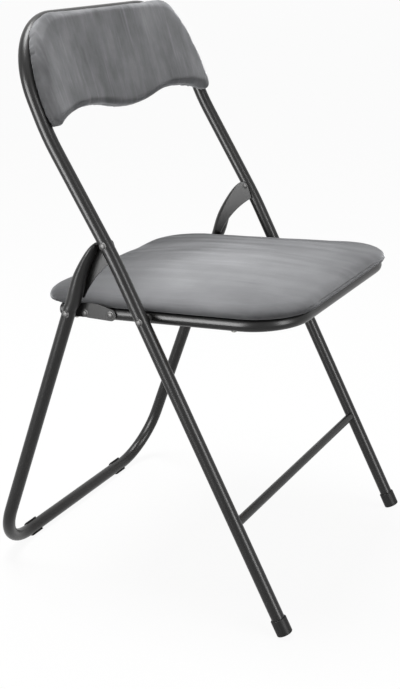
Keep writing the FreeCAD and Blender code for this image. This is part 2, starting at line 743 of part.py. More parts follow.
def on_circle(centre, first, second, radius):
    """Middle of the shorter arc between two points of a circle."""
    middle = (first + second) * 0.5 - centre
    return centre + middle * (radius / middle.Length)


def backrest_outline(depth):
    """Front view of the backrest: rounded top corners, a tab at each side and a wavy lower edge."""
    half = side_x + size("back_lap")
    top = size("back_height") - size("back_top_drop")
    rise = size("back_wave_rise")
    reach = size("back_wave_reach")
    tab = size("back_tab_radius")
    low = Vector(0, depth, size("back_bottom_height"))
    peak = Vector(reach, depth, low.z + rise)
    both = (reach ** 2 + rise ** 2) / (2 * rise)
    lobe_radius = both * size("back_lobe_share")
    inner_join, lobe_centre, arch_centre = circle_join(low, peak, lobe_radius, both - lobe_radius)
    tab_centre = Vector(half - tab, depth, low.z - size("back_tab_drop") + tab)
    run = tab_centre.x - reach
    fall = peak.z - tab_centre.z
    outer_radius = (run ** 2 + fall ** 2 - tab ** 2) / (2 * (tab + fall))
    outer_centre = peak - Vector(0, 0, outer_radius)
    outer_join = outer_centre + (tab_centre - outer_centre) * (outer_radius / (outer_radius + tab))
    tab_side = tab_centre + Vector(tab, 0, 0)
    # Each top corner is a wide arc up the side that runs on into a tighter one
    wide = size("pad_side_radius")
    tight = size("pad_corner_radius")
    turn = radians(size("pad_side_turn"))
    tight_centre = Vector(half - wide + (wide - tight) * cos(turn), depth, top - tight)
    wide_centre = tight_centre - Vector(cos(turn), 0, sin(turn)) * (wide - tight)
    corner_start = wide_centre + Vector(wide, 0, 0)
    corner_join = tight_centre + Vector(cos(turn), 0, sin(turn)) * tight
    corner_end = tight_centre + Vector(0, 0, tight)
    tab_low = tab_centre + (Vector(1, 0, -1) * (tab / sqrt(2)))
    right_half = [
        arc(low, on_circle(lobe_centre, low, inner_join, lobe_radius), inner_join),
        arc(inner_join, on_circle(arch_centre, inner_join, peak, both - lobe_radius), peak),
        arc(peak, on_circle(outer_centre, peak, outer_join, outer_radius), outer_join),
        arc(outer_join, tab_low, tab_side),
        line(tab_side, corner_start),
        arc(corner_start, on_circle(wide_centre, corner_start, corner_join, wide), corner_join),
        arc(corner_join, on_circle(tight_centre, corner_join, corner_end, tight), corner_end),
    ]
    top_line = line(corner_end, Vector(-corner_end.x, depth, top))
    return Part.sortEdges(right_half + [top_line] + mirrored(right_half))[0]


def bowed_slab(name, back_depth, front_depth, bows, frame):
    """Slab across the backrest whose bow changes from its low end to its top; depths are (low, top)."""
    half = side_x + tube_r
    heights = (size("back_bottom_height") - 2 * size("back_tab_radius"), size("back_height") + 2 * tube_r)
    sections = []
    for number, height in enumerate(heights):
        back = back_depth[number]
        front = front_depth[number]
        back_bow, front_bow = bows[number]
        corners = [Vector(half, back, height), Vector(-half, back, height),
                   Vector(-half, front, height), Vector(half, front, height)]
        section = doc.addObject("Part::Feature", f"{name}_section_{number}")
        section.Shape = Part.Wire([
            arc(corners[0], Vector(0, back + back_bow, height), corners[1]),
            line(corners[1], corners[2]),
            arc(corners[2], Vector(0, front + front_bow, height), corners[3]),
            line(corners[3], corners[0]),
        ])
        section.Placement = frame
        sections.append(section)
    slab = doc.addObject("Part::Loft", name)
    slab.Sections = sections
    slab.Solid = True
    slab.Ruled = True
    return slab


def trimmed(name, slab, frame):
    """Slab cut to the outline of the backrest."""
    outline = doc.addObject("Part::Feature", name + "_outline")
    outline.Shape = Part.Wire(backrest_outline(-size("frame_width") / 4))
    outline.Placement = frame
    block = doc.addObject("Part::Extrusion", name + "_block")
    block.Base = outline
    block.DirMode = "Custom"
    block.Dir = frame.Rotation.multVec(Vector(0, 1, 0))
    block.Solid = True
    block.setExpression("LengthFwd", "Dimensions.frame_width / 2")
    result = doc.addObject("Part::Common", name)
    result.Base = slab
    result.Tool = block
    return result


def backrest(frame):
    """Pressed steel panel on the front of the tubes, and the pad on it."""
    # The top edge is as good as straight; an arc needs a trace of bow
    straight = tube_r / 100
    low_back = -tube_r - size("panel_low_gap")
    top_back = -tube_r - size("panel_top_gap")
    bow = size("panel_bow")
    thick = size("panel_thickness")
    panel = bowed_slab("panel_slab", (low_back, top_back), (low_back - thick, top_back - thick),
                       ((bow, bow), (straight, straight)), frame)
    finish(trimmed("panel", panel, frame), "backrest_panel")
    skin = thick + size("seat_gap")
    pad = skin + size("pad_thickness")
    crown = size("pad_crown")
    slab = bowed_slab("pad_slab", (low_back - skin, top_back - skin), (low_back - pad, top_back - pad),
                      ((bow, bow - crown), (straight, straight - crown)), frame)
    block = trimmed("pad_block", slab, frame)
    doc.recompute()
    inward = frame.inverse()
    front = min(block.Shape.Faces, key=lambda face: inward.multVec(face.CenterOfMass).y)
    rounded = doc.addObject("Part::Fillet", "pad_rounded")
    rounded.Base = block
    radius = size("pad_edge_radius")
    rounded.Edges = [(k, radius, radius) for k, edge in enumerate(block.Shape.Edges, start=1)
                     if any(edge.isSame(other) for other in front.Edges)]
    finish(rounded, "backrest_cushion")


back_frame = front_tube()
front_brace()
foot_caps()
pivot_rivets()
rear_tube()
floor_clips()
link_rivets()
seat_rail()
rail_plugs()
seat_board()
seat_screws()
seat_cushion()
rail_pins()
links()
backrest(back_frame)
doc.recompute()

faulty = [thing.Label for thing in doc.Objects if {"Invalid", "Error"} & set(thing.State)]
faulty += [piece.Label for piece in pieces if piece.Shape.isNull() or not piece.Shape.isValid()]
if faulty:
    raise SystemExit("not built: " + ", ".join(faulty))

os.makedirs("parts", exist_ok=True)
for piece in pieces:
    piece.Shape.exportStep(f"parts/{piece.Label}.step")
    print(piece.Label, len(piece.Shape.Solids), "solid", round(piece.Shape.Volume / 1000, 2), "cm3")
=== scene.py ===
# %% [markdown]
# # A velvet folding chair
# The chair has a frame of dark painted steel tube, a padded seat and a padded backrest.
# The solid model of the chair is loaded first and never moved. This lesson gives its rigid pieces
# their finishes, grows the two velvet covers with a cloth simulation and turns new rivets.
# Everything is in metres: X runs across the chair, minus Y is its front and Z is up.

import json
from math import cos, radians, sin

import bmesh
import bpy
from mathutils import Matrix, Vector
from mathutils.bvhtree import BVHTree

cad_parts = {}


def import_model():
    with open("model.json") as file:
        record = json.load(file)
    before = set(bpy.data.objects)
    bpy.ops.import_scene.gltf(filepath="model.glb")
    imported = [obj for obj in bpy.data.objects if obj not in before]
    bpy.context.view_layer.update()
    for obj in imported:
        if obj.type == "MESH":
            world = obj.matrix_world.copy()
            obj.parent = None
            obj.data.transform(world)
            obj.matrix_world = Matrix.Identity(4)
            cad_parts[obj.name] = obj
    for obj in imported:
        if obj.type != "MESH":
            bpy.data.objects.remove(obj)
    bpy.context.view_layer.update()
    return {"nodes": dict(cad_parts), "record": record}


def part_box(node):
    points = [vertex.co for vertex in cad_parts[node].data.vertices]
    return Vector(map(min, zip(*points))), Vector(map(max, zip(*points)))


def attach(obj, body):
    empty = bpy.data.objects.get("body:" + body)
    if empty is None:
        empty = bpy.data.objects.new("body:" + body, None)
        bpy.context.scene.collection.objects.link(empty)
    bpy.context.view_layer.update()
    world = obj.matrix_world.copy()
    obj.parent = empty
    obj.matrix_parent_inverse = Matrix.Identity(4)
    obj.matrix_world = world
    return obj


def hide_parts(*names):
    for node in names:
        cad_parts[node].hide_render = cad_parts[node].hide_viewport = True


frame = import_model()
nodes = frame["nodes"]
scene = bpy.context.scene
MM = 0.001
SIDES = ("left", "right")
ACROSS = Vector((1, 0, 0))

# %% [markdown]
# ## The camera
# The picture to match is 400 by 689 pixels. Its camera was worked out from the straight legs, the
# cross brace and the floor bar: it stands to the sitter's right, in front of the chair and above it.
# Blender measures a lens against the long side of the sensor, so the focal length in pixels is
# divided by the picture's height. A small shift puts the lens axis on its own pixel.

# %% Camera
PICTURE_WIDTH = 400
PICTURE_HEIGHT = 689
FOCAL_PIXELS = 1231.7
AXIS_PIXEL = (195.2, 349.0)
SENSOR_MM = 36.0
CAMERA_PLACE = Vector((-1.4942, -0.7663, 0.8820))
CAMERA_AZIMUTH = radians(-62.43)
CAMERA_ELEVATION = radians(19.31)


def make_camera():
    """Camera at the picture's viewing angle."""
    data = bpy.data.cameras.new("camera")
    data.sensor_width = SENSOR_MM
    data.lens = FOCAL_PIXELS / PICTURE_HEIGHT * SENSOR_MM
    data.shift_x = (PICTURE_WIDTH / 2 - AXIS_PIXEL[0]) / PICTURE_HEIGHT
    data.shift_y = (AXIS_PIXEL[1] - PICTURE_HEIGHT / 2) / PICTURE_HEIGHT
    camera = bpy.data.objects.new("camera", data)
    camera.location = CAMERA_PLACE
    level = cos(CAMERA_ELEVATION)
    back = Vector((sin(CAMERA_AZIMUTH) * level, -cos(CAMERA_AZIMUTH) * level, sin(CAMERA_ELEVATION)))
    camera.rotation_mode = "QUATERNION"
    camera.rotation_quaternion = (-back).to_track_quat("-Z", "Y")
    scene.collection.objects.link(camera)
    scene.camera = camera
    return camera


camera = make_camera()
print("camera: lens", round(camera.data.lens, 2), "mm")

# %% [markdown]
# ## Writing shaders as sums
# A finish is easier to read as arithmetic than as a page of nodes. The small class below wraps a
# socket: adding, subtracting or multiplying two of them puts a Math node in the tree.
# Most other nodes come from one method, which sets a node's settings first and its sockets after.

# %% Shader helpers


class Wire:
    """A number, colour or vector that travels along a shader socket."""

    def __init__(self, tree, socket):
        self.tree = tree
        self.socket = socket

    def maths(self, operation, first, second):
        node = self.tree.nodes.new("ShaderNodeMath")
        node.operation = operation
        for socket, value in zip(node.inputs, (first, second)):
            if isinstance(value, Wire):
                self.tree.links.new(value.socket, socket)
            else:
                socket.default_value = value
        return Wire(self.tree, node.outputs[0])

    def __add__(self, other):
        return self.maths("ADD", self, other)

    def __sub__(self, other):
        return self.maths("SUBTRACT", self, other)

    def __rsub__(self, other):
        return self.maths("SUBTRACT", other, self)

    def __mul__(self, other):
        return self.maths("MULTIPLY", self, other)

    def smaller(self, other):
        return self.maths("MINIMUM", self, other)

    def larger(self, other):
        return self.maths("MAXIMUM", self, other)

    __radd__ = __add__
    __rmul__ = __mul__


class Finish:
    """A material that is built by code."""

    def __init__(self, name):
        self.material = bpy.data.materials.new(name)
        self.material.use_nodes = True
        self.tree = self.material.node_tree
        self.shader = self.tree.nodes["Principled BSDF"]

    def node(self, kind, settings=None, output=None, **sockets):
        """A new node of any kind; returns the wire from one of its outputs."""
        node = self.tree.nodes.new("ShaderNode" + kind)
        for key, value in (settings or {}).items():
            setattr(node, key, value)
        for key, value in sockets.items():
            self.feed(node, key.replace("_", " "), value)
        usable = [socket for socket in node.outputs if not socket.is_unavailable]
        chosen = next((socket for socket in usable if socket.name == output), usable[0])
        return Wire(self.tree, chosen)

    def feed(self, node, name, value):
        """Sets a socket to a plain value, or links a wire to it; "second" is a node's second socket."""
        usable = [socket for socket in node.inputs if not socket.is_unavailable]
        if name == "second":
            chosen = usable[1]
        else:
            chosen = next(socket for socket in usable if socket.name == name)
        if isinstance(value, Wire):
            self.tree.links.new(value.socket, chosen)
        else:
            chosen.default_value = value

    def set(self, **sockets):
        """Values or wires of the shader's own sockets."""
        for key, value in sockets.items():
            self.feed(self.shader, key.replace("_", " "), value)

    def point(self):
        """The shaded point in object coordinates."""
        return self.node("TexCoord", output="Object")

    def part_of(self, point, axis):
        """X, Y or Z of a point."""
        return self.node("SeparateXYZ", output=axis, Vector=point)

    def measure(self, operation, point, second):
        """A number from a point and a fixed vector."""
        return self.node("VectorMath", {"operation": operation}, output="Value", Vector=point,
                         second=second)

    def noise(self, scale, detail, roughness=0.5, stretch=(1.0, 1.0, 1.0)):
        """Smooth random values round a half; scale times stretch is the number of lumps a metre."""
        place = self.node("Mapping", Vector=self.point(), Scale=stretch)
        return self.node("TexNoise", output="Fac", Vector=place, Scale=scale, Detail=detail,
                         Roughness=roughness)

    def between(self, low, high, amount):
        """Colour between two others, each a plain colour or a wire."""
        low, high = (colour if isinstance(colour, Wire) else (*colour, 1.0) for colour in (low, high))
        return self.node("Mix", {"data_type": "RGBA"}, Factor=amount, A=low, B=high)

    def spread(self, value, low, high):
        """A value stretched so that low becomes 0 and high becomes 1, without going past them."""
        return self.node("MapRange", Value=value, From_Min=low, From_Max=high)

    def relief(self, height, depth, strength):
        """Normal of a fine relief; depth is in metres."""
        return self.node("Bump", output="Normal", Height=height, Distance=depth, Strength=strength)


def grey(level, warmth=0.0):
    """A grey of a given brightness, a trace warmer or cooler."""
    return (level * (1 + warmth), level, level * (1 - warmth))


# %% [markdown]
# ## Finishes of the frame
# The tubes have a charcoal powder coat: satin, with the faint orange-peel relief of a baked coat
# and a slightly uneven gloss. The rivets are blackened steel, the caps and clips black moulded
# plastic with a fine grain. Real coats are never one flat value, so each finish varies a little in
# colour and in roughness, from noise that is fixed to the object.

# %% Frame finishes
COAT_DARK = grey(0.008, warmth=0.02)
COAT_LIGHT = grey(0.016, warmth=0.02)
STEEL_DARK = grey(0.050, warmth=0.01)
STEEL_LIGHT = grey(0.095, warmth=0.01)
PLASTIC_DARK = grey(0.004)
PLASTIC_LIGHT = grey(0.009)
ZINC_DARK = (0.42, 0.42, 0.40)
ZINC_LIGHT = (0.62, 0.61, 0.58)


def powder_coat():
    """Charcoal powder coat of the tubes."""
    coat = Finish("charcoal_powder_coat")
    cloud = coat.noise(scale=22, detail=3)
    peel = coat.noise(scale=520, detail=1)
    grain = coat.noise(scale=2600, detail=1)
    coat.set(
        Base_Color=coat.between(COAT_DARK, COAT_LIGHT, cloud * 0.6 + grain * 0.4),
        Roughness=0.25 + cloud * 0.10 + grain * 0.06,
        Normal=coat.relief(peel + grain * 0.25, depth=0.005 * MM, strength=0.4),
        Specular_IOR_Level=0.3,
    )
    return coat.material


def blackened_steel():
    """Blackened steel of the rivets, spacers and link ends."""
    steel = Finish("blackened_steel")
    cloud = steel.noise(scale=160, detail=3)
    scratches = steel.noise(scale=900, detail=2, stretch=(0.2, 1.0, 1.0))
    steel.set(
        Base_Color=steel.between(STEEL_DARK, STEEL_LIGHT, cloud),
        Metallic=0.9,
        Roughness=0.42 + scratches * 0.16,
        Normal=steel.relief(scratches, depth=0.02 * MM, strength=0.4),
    )
    return steel.material


def moulded_plastic():
    """Black plastic of the foot caps, floor clips and rail plugs."""
    plastic = Finish("black_moulded_plastic")
    grain = plastic.noise(scale=1900, detail=2)
    cloud = plastic.noise(scale=60, detail=2)
    plastic.set(
        Base_Color=plastic.between(PLASTIC_DARK, PLASTIC_LIGHT, cloud),
        Roughness=0.40 + grain * 0.16,
        Normal=plastic.relief(grain, depth=0.05 * MM, strength=0.6),
        Specular_IOR_Level=0.22,
    )
    return plastic.material


def zinc_plate():
    """Bright zinc of the screws under the seat."""
    zinc = Finish("zinc_plate")
    cloud = zinc.noise(scale=420, detail=3)
    zinc.set(
        Base_Color=zinc.between(ZINC_DARK, ZINC_LIGHT, cloud),
        Metallic=1.0,
        Roughness=0.26 + cloud * 0.2,
    )
    return zinc.material


# %% [markdown]
# The board under the seat is birch plywood. The cover's cloth is folded round its edge, so the board
# turns to the colour of that cloth near its sides and shows bare wood further in.

# %% Plywood
HEM_WIDTH = 24 * MM
HEM_BLUR = 0.5 * MM
HEM_CLOTH = grey(0.10)
WOOD_DARK = (0.30, 0.185, 0.095)
WOOD_LIGHT = (0.56, 0.40, 0.245)


def hem_share(finish):
    """1 near the sides of the seat board, where the cover's cloth is folded round it, and 0 inside."""
    low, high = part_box("seat_board")
    point = finish.point()
    inside = []
    for axis, name in enumerate("XY"):
        along = finish.part_of(point, name)
        inside += [along - low[axis], high[axis] - along]
    nearest = inside[0]
    for other in inside[1:]:
        nearest = nearest.smaller(other)
    return finish.spread(nearest, HEM_WIDTH + HEM_BLUR, HEM_WIDTH - HEM_BLUR)


def plywood():
    """Birch plywood of the seat board, with its grain along the chair's depth and cloth on its edge."""
    wood = Finish("birch_plywood")
    grain = wood.noise(scale=1.0, detail=5, roughness=0.6, stretch=(260.0, 9.0, 90.0))
    figure = wood.noise(scale=1.0, detail=2, stretch=(26.0, 3.0, 8.0))
    pores = wood.noise(scale=1.0, detail=1, stretch=(1400.0, 60.0, 400.0))
    bare = wood.between(WOOD_DARK, WOOD_LIGHT, grain * 0.55 + figure * 0.45)
    wood.set(
        Base_Color=wood.between(bare, HEM_CLOTH, hem_share(wood)),
        Roughness=0.62 + grain * 0.2,
        Normal=wood.relief(grain + pores * 0.4, depth=0.08 * MM, strength=0.5),
    )
    return wood.material


# %% [markdown]
# Each solid piece says in the record which finish it wears, so the finishes are handed out by that
# name. The velvet solids are left out here, because the covers made below stand for them.

# %% Hand out the finishes
FINISHES = {
    "frame_paint": powder_coat(),
    "rivet_metal": blackened_steel(),
    "black_plastic": moulded_plastic(),
    "zinc_screw": zinc_plate(),
    "plywood": plywood(),
}


def slot_of(node):
    """Name of the finish that the record gives a solid piece."""
    return next(row["material_slot"] for row in frame["record"]["subparts"] if row["node"] == node)


def wear(piece, material):
    """Gives a piece one material."""
    piece.data.materials.clear()
    piece.data.materials.append(material)


for node, piece in nodes.items():
    if slot_of(node) in FINISHES:
        wear(piece, FINISHES[slot_of(node)])
print("finishes:", ", ".join(FINISHES))

# %% [markdown]
# ## Velvet
# Velvet is a dense pile of short fibres. It looks dark where the pile is seen end on and light where
# it is seen from the side, so a hand or a box lid that brushed it leaves streaks and patches.
# Here the streaks run with the pile: along the depth of the seat and up the backrest. A noise that
# is quick across X and slow along Y and Z gives both at once. Sheen makes the glow at grazing angles.
# A painted pool of light makes the middle of the seat lighter, and painted shade makes the edge that
# rolls under it darker.

# %% Velvet finish
VELVET_DARK = (0.078, 0.079, 0.082)
VELVET_LIGHT = (0.430, 0.434, 0.448)
SHEEN_TINT = (0.90, 0.91, 0.94, 1.0)
SHEEN_ROUGHNESS = 0.36
BROAD_STRETCH = (62.0, 2.6, 2.6)
FINE_STRETCH = (240.0, 12.0, 12.0)
FIBRES_PER_METRE = 2400
# The part of each noise's range that is stretched to the full range
STREAK_RANGE = (0.39, 0.61)
LINE_RANGE = (0.60, 0.74)
PATCH_RANGE = (0.32, 0.68)
FIBRE_SHARE = 0.08
# How much lighter the painted pool of light makes the middle of the seat
LIGHT_POOL_SHARE = 0.28
PILE_DEPTH = 0.3 * MM
# Middle of the painted pool of light on the seat, and how far from there the painted light fades
LIGHT_POOL_CENTRE = (-0.04, -0.05, 0.43)
LIGHT_POOL_NEAR = 0.02
LIGHT_POOL_FAR = 0.20
# Places along Y between which the streaks fade in, and heights over the board's underside between which
# the painted shade of the seat's rolled edge fades out
COMBED_DEPTH = (-0.24, 0.02)
EDGE_SHADE_LOW = 5 * MM
EDGE_SHADE_HIGH = 19 * MM
SEAT_TILT = radians(3.7)
seat_up = Vector((0, sin(SEAT_TILT), cos(SEAT_TILT)))
seat_underside = min(vert.co.dot(seat_up) for vert in nodes["seat_board"].data.vertices)


def velvet(name, plain, streak_share, line_share, patch_share, patch_stretch, combed_side,
           edge_shade_share, sheen):
    """Grey velvet with brushed marks, a painted pool of light and painted shade on the seat's rolled
    edge.

    The shares say how strongly each kind of mark shows. The streaks fade in between the two
    places of combed_side along X.
    """
    cloth = Finish(name)
    point = cloth.point()
    broad = cloth.noise(scale=1.0, detail=3, stretch=BROAD_STRETCH)
    fine = cloth.noise(scale=1.0, detail=2, stretch=FINE_STRETCH)
    patches = cloth.noise(scale=1.0, detail=4, roughness=0.62, stretch=patch_stretch)
    fibres = cloth.noise(scale=FIBRES_PER_METRE, detail=2)
    # Painted light: a pool of lighter colour round the middle of the seat, fading outwards
    painted_light_pool = cloth.spread(cloth.measure("DISTANCE", point, LIGHT_POOL_CENTRE), LIGHT_POOL_FAR, LIGHT_POOL_NEAR)
    combed = (cloth.spread(cloth.part_of(point, "X"), *combed_side)
              * cloth.spread(cloth.part_of(point, "Y"), *COMBED_DEPTH))
    height = cloth.measure("DOT_PRODUCT", point, seat_up)
    # Painted shade: the low part of the cover, where its edge rolls under, is darkened by height
    painted_edge_shade = cloth.spread(height, seat_underside + EDGE_SHADE_HIGH, seat_underside + EDGE_SHADE_LOW)
    streaks = cloth.spread(broad * 0.65 + fine * 0.35, *STREAK_RANGE)
    lines = cloth.spread(fine, *LINE_RANGE)
    brushed = cloth.spread(patches, *PATCH_RANGE)
    marks = (streaks - 0.5) * combed * streak_share + lines * line_share + brushed * patch_share
    # The tone gains the painted pool of light and loses the painted shade of the rolled edge
    tone = marks + fibres * FIBRE_SHARE + painted_light_pool * LIGHT_POOL_SHARE + plain - painted_edge_shade * edge_shade_share
    cloth.set(
        Base_Color=cloth.between(VELVET_DARK, VELVET_LIGHT, tone),
        Roughness=0.86 + fibres * 0.12,
        Normal=cloth.relief(fibres * 0.7 + streaks * streak_share, depth=PILE_DEPTH, strength=0.6),
        Specular_IOR_Level=0.12,
        Sheen_Weight=sheen,
        Sheen_Roughness=SHEEN_ROUGHNESS,
        Sheen_Tint=SHEEN_TINT,
    )
    return cloth.material


SEAT_VELVET = velvet(
    "seat_velvet",
    plain=0.20,
    streak_share=0.46,
    line_share=0.05,
    patch_share=0.16,
    patch_stretch=(16.0, 11.0, 11.0),
    combed_side=(-0.15, 0.04),
    # The seat's lower rolled edge gets painted shade
    edge_shade_share=0.20,
    sheen=1.0,
)
BACK_VELVET = velvet(
    "back_velvet",
    plain=0.15,
    streak_share=0.10,
    line_share=0.12,
    patch_share=0.34,
    patch_stretch=(26.0, 14.0, 14.0),
    combed_side=(-0.40, -0.30),
    edge_shade_share=0.0,
    sheen=0.6,
)
print("velvet: brushed for the seat and for the backrest")

# %% [markdown]
# ## Growing the covers
# Foam that is pulled tight under cloth has no flat spots and no hard edges. Drawing that by hand is
# slow, so the covers are blown up instead. A copy of the solid pad is rebuilt as an even net of
# quads, drawn in a little, and given cloth physics with a slight inner pressure. After twenty steps
# each point has moved outwards; the movement is capped, so the pad keeps its real size.

# %% Cover helpers
SIM_FRAMES = 20
SIM_QUALITY = 6
CLOTH_MASS = 0.3
PRESSURE = 4.0
SMOOTH_STEP = 0.5
JOIN_WITHIN = 0.01 * MM


def piece_from(name, net):
    """A new object with the mesh of a bmesh, which is freed."""
    mesh = bpy.data.meshes.new(name)
    net.to_mesh(mesh)
    net.free()
    piece = bpy.data.objects.new(name, mesh)
    scene.collection.objects.link(piece)
    return piece


def even_net(name, net, voxel):
    """One closed net of even quads round the shapes in a bmesh."""
    piece = piece_from(name, net)
    remesh = piece.modifiers.new("even_net", "REMESH")
    remesh.mode = "VOXEL"
    remesh.voxel_size = voxel
    graph = bpy.context.evaluated_depsgraph_get()
    mesh = bpy.data.meshes.new_from_object(piece.evaluated_get(graph))
    piece.modifiers.clear()
    piece.data = mesh
    return piece


def copy_of(node):
    """Bmesh copy of a solid piece, with its points joined."""
    net = bmesh.new()
    net.from_mesh(nodes[node].data)
    bmesh.ops.remove_doubles(net, verts=net.verts, dist=JOIN_WITHIN)
    net.normal_update()
    return net


def smooth(net, verts, passes, axes="xyz"):
    """Moves points towards the middle of their neighbours, along the given axes only."""
    switches = {"use_axis_" + axis: axis in axes for axis in "xyz"}
    for _ in range(passes):
        bmesh.ops.smooth_vert(net, verts=verts, factor=SMOOTH_STEP, **switches)


def smooth_and_shift(piece, passes, outward):
    """Evens out the net, then moves each point along its normal."""
    net = bmesh.new()
    net.from_mesh(piece.data)
    smooth(net, net.verts, passes)
    net.normal_update()
    for vert in net.verts:
        vert.co += vert.normal * outward
    net.to_mesh(piece.data)
    net.free()


def blow_up(piece, cap):
    """Cloth pressure from inside; no point moves further than the cap."""
    start = [vert.co.copy() for vert in piece.data.vertices]
    cloth = piece.modifiers.new("pressure", "CLOTH")
    cloth.settings.quality = SIM_QUALITY
    cloth.settings.mass = CLOTH_MASS
    cloth.settings.use_pressure = True
    cloth.settings.uniform_pressure_force = PRESSURE
    cloth.settings.effector_weights.gravity = 0.0
    cloth.point_cache.frame_start = 1
    cloth.point_cache.frame_end = SIM_FRAMES
    for step in range(1, SIM_FRAMES + 1):
        scene.frame_set(step)
    graph = bpy.context.evaluated_depsgraph_get()
    grown = [vert.co.copy() for vert in piece.evaluated_get(graph).data.vertices]
    piece.modifiers.clear()
    scene.frame_set(1)
    furthest = 0.0
    for vert, before, after in zip(piece.data.vertices, start, grown):
        move = after - before
        furthest = max(furthest, move.length)
        if move.length > cap:
            move *= cap / move.length
        vert.co = before + move
    print(piece.name, "grew by up to", round(furthest / MM, 1), "mm before the cap")


def stretch_to(piece, axis, low, high):
    """Stretches a cover along one direction, so that it reaches from low to high."""
    places = [vert.co.dot(axis) for vert in piece.data.vertices]
    first = min(places)
    share = (high - low) / (max(places) - first)
    for vert, place in zip(piece.data.vertices, places):
        vert.co += axis * (low + (place - first) * share - place)


def reach(names, axis):
    """Lowest and highest place of some solid pieces along a direction."""
    places = [vert.co.dot(axis) for name in names for vert in nodes[name].data.vertices]
    return min(places), max(places)


def finish_cover(piece, velvet_finish, body, stands_for):
    """Smooth shading, one subdivision, and the cover's place in the chair."""
    for face in piece.data.polygons:
        face.use_smooth = True
    rounding = piece.modifiers.new("rounding", "SUBSURF")
    rounding.levels = 1
    rounding.render_levels = 1
    wear(piece, velvet_finish)
    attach(piece, body)
    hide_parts(*stands_for)


# %% [markdown]
# ## The seat
# The velvet of the seat goes over a foam pad and round the edge of the plywood board, and is
# fastened under it. So the cover is grown from the pad and a rounded slab that reaches below the
# board's edge. Everything below the board is then pressed flat: a hem that shows all round, and
# inside it a hollow where the bare board shows.

# %% Seat cover
SEAT_CORNER = 72 * MM
SEAT_VOXEL = 4.5 * MM
SEAT_DRAWN_IN = 1.5 * MM
SEAT_SWELL = 3.0 * MM
SEAT_PROUD = 0.8 * MM
SEAT_PASSES_BEFORE = 2
SEAT_PASSES_AFTER = 8
WRAP_HEIGHT = 15 * MM
WRAP_DROP = 8 * MM
WRAP_PROUD = 1.5 * MM
CORNER_STEPS = 12
CROWN_INSET = 16 * MM
CROWN_FACING = 0.8
CROWN_PASSES = 160
HEM_DEPTH = 0.15 * MM
BOARD_SHOWS = 0.6 * MM

seat_rearward = Vector((0, cos(SEAT_TILT), -sin(SEAT_TILT)))
seat_sides = reach(["seat_cushion"], ACROSS)
seat_ends = reach(["seat_cushion"], seat_rearward)
seat_middle = (seat_ends[0] + seat_ends[1]) / 2
_, seat_crown = reach(["seat_cushion"], seat_up)


def seat_wrap(net):
    """Adds a rounded slab to a bmesh: the cloth round the edge of the board."""
    corner = SEAT_CORNER + WRAP_PROUD
    half_width = seat_sides[1] + WRAP_PROUD - corner
    half_depth = (seat_ends[1] - seat_ends[0]) / 2 + WRAP_PROUD - corner
    base = seat_up * (seat_underside - WRAP_DROP)
    rim = []
    for quarter, (right, rear) in enumerate(((1, 1), (-1, 1), (-1, -1), (1, -1))):
        for step in range(CORNER_STEPS + 1):
            angle = radians(90) * (quarter + step / CORNER_STEPS)
            across = right * half_width + corner * cos(angle)
            along = seat_middle + rear * half_depth + corner * sin(angle)
            rim.append(net.verts.new(ACROSS * across + seat_rearward * along + base))
    face = net.faces.new(rim)
    grown = bmesh.ops.extrude_face_region(net, geom=[face], use_keep_orig=True)["geom"]
    raised = [item for item in grown if isinstance(item, bmesh.types.BMVert)]
    bmesh.ops.translate(net, verts=raised, vec=seat_up * WRAP_HEIGHT)
    bmesh.ops.recalc_face_normals(net, faces=net.faces)


def inside_by(point):
    """How far a point lies inside the rounded outline of the seat."""
    across = abs(point.x) - (seat_sides[1] - SEAT_CORNER)
    along = abs(point.dot(seat_rearward) - seat_middle) - (seat_ends[1] - seat_middle - SEAT_CORNER)
    past = Vector((max(across, 0.0), max(along, 0.0))).length
    return SEAT_CORNER - past - min(max(across, along), 0.0)


def on_crown(vert):
    """Whether a point is on the top of the seat, away from its edge."""
    return vert.normal.dot(seat_up) > CROWN_FACING and inside_by(vert.co) > CROWN_INSET


def even_crown(piece):
    """Makes the top of the seat one smooth crown of its full height."""
    net = bmesh.new()
    net.from_mesh(piece.data)
    net.normal_update()
    crown = [vert for vert in net.verts if on_crown(vert)]
    smooth(net, crown, CROWN_PASSES, axes="z")
    heights = [vert.co.dot(seat_up) for vert in crown]
    low = min(heights)
    share = (seat_crown - low) / (max(heights) - low)
    for vert, height in zip(crown, heights):
        vert.co += seat_up * ((height - low) * (share - 1))
    net.to_mesh(piece.data)
    net.free()


def flat_underside(piece):
    """Flat hem under the board, and inside it a hollow where the bare board shows."""
    for vert in piece.data.vertices:
        height = vert.co.dot(seat_up)
        if height < seat_underside:
            level = BOARD_SHOWS if inside_by(vert.co) > HEM_WIDTH else -HEM_DEPTH
            vert.co += seat_up * (seat_underside + level - height)


def seat_cover():
    """Velvet cover of the seat."""
    net = copy_of("seat_cushion")
    seat_wrap(net)
    piece = even_net("seat_cover", net, SEAT_VOXEL)
    smooth_and_shift(piece, SEAT_PASSES_BEFORE, -SEAT_DRAWN_IN)
    blow_up(piece, SEAT_SWELL)
    smooth_and_shift(piece, SEAT_PASSES_AFTER, 0.0)
    stretch_to(piece, ACROSS, seat_sides[0] - SEAT_PROUD, seat_sides[1] + SEAT_PROUD)
    stretch_to(piece, seat_rearward, seat_ends[0] - SEAT_PROUD, seat_ends[1] + SEAT_PROUD)
    even_crown(piece)
    flat_underside(piece)
    finish_cover(piece, SEAT_VELVET, "seat", ["seat_cushion"])
    return piece


cover = seat_cover()
print("seat cover:", len(cover.data.polygons), "quads")

# %% [markdown]
# ## The backrest
# The backrest is a thin bowed panel with foam on its front, and the velvet goes round both. So the
# pad's back is first moved to just behind the panel, and the cover is grown from that. Behind it are
# the tubes: the cover's rear rim is tucked in, and its back is laid close to the tube where it is near.

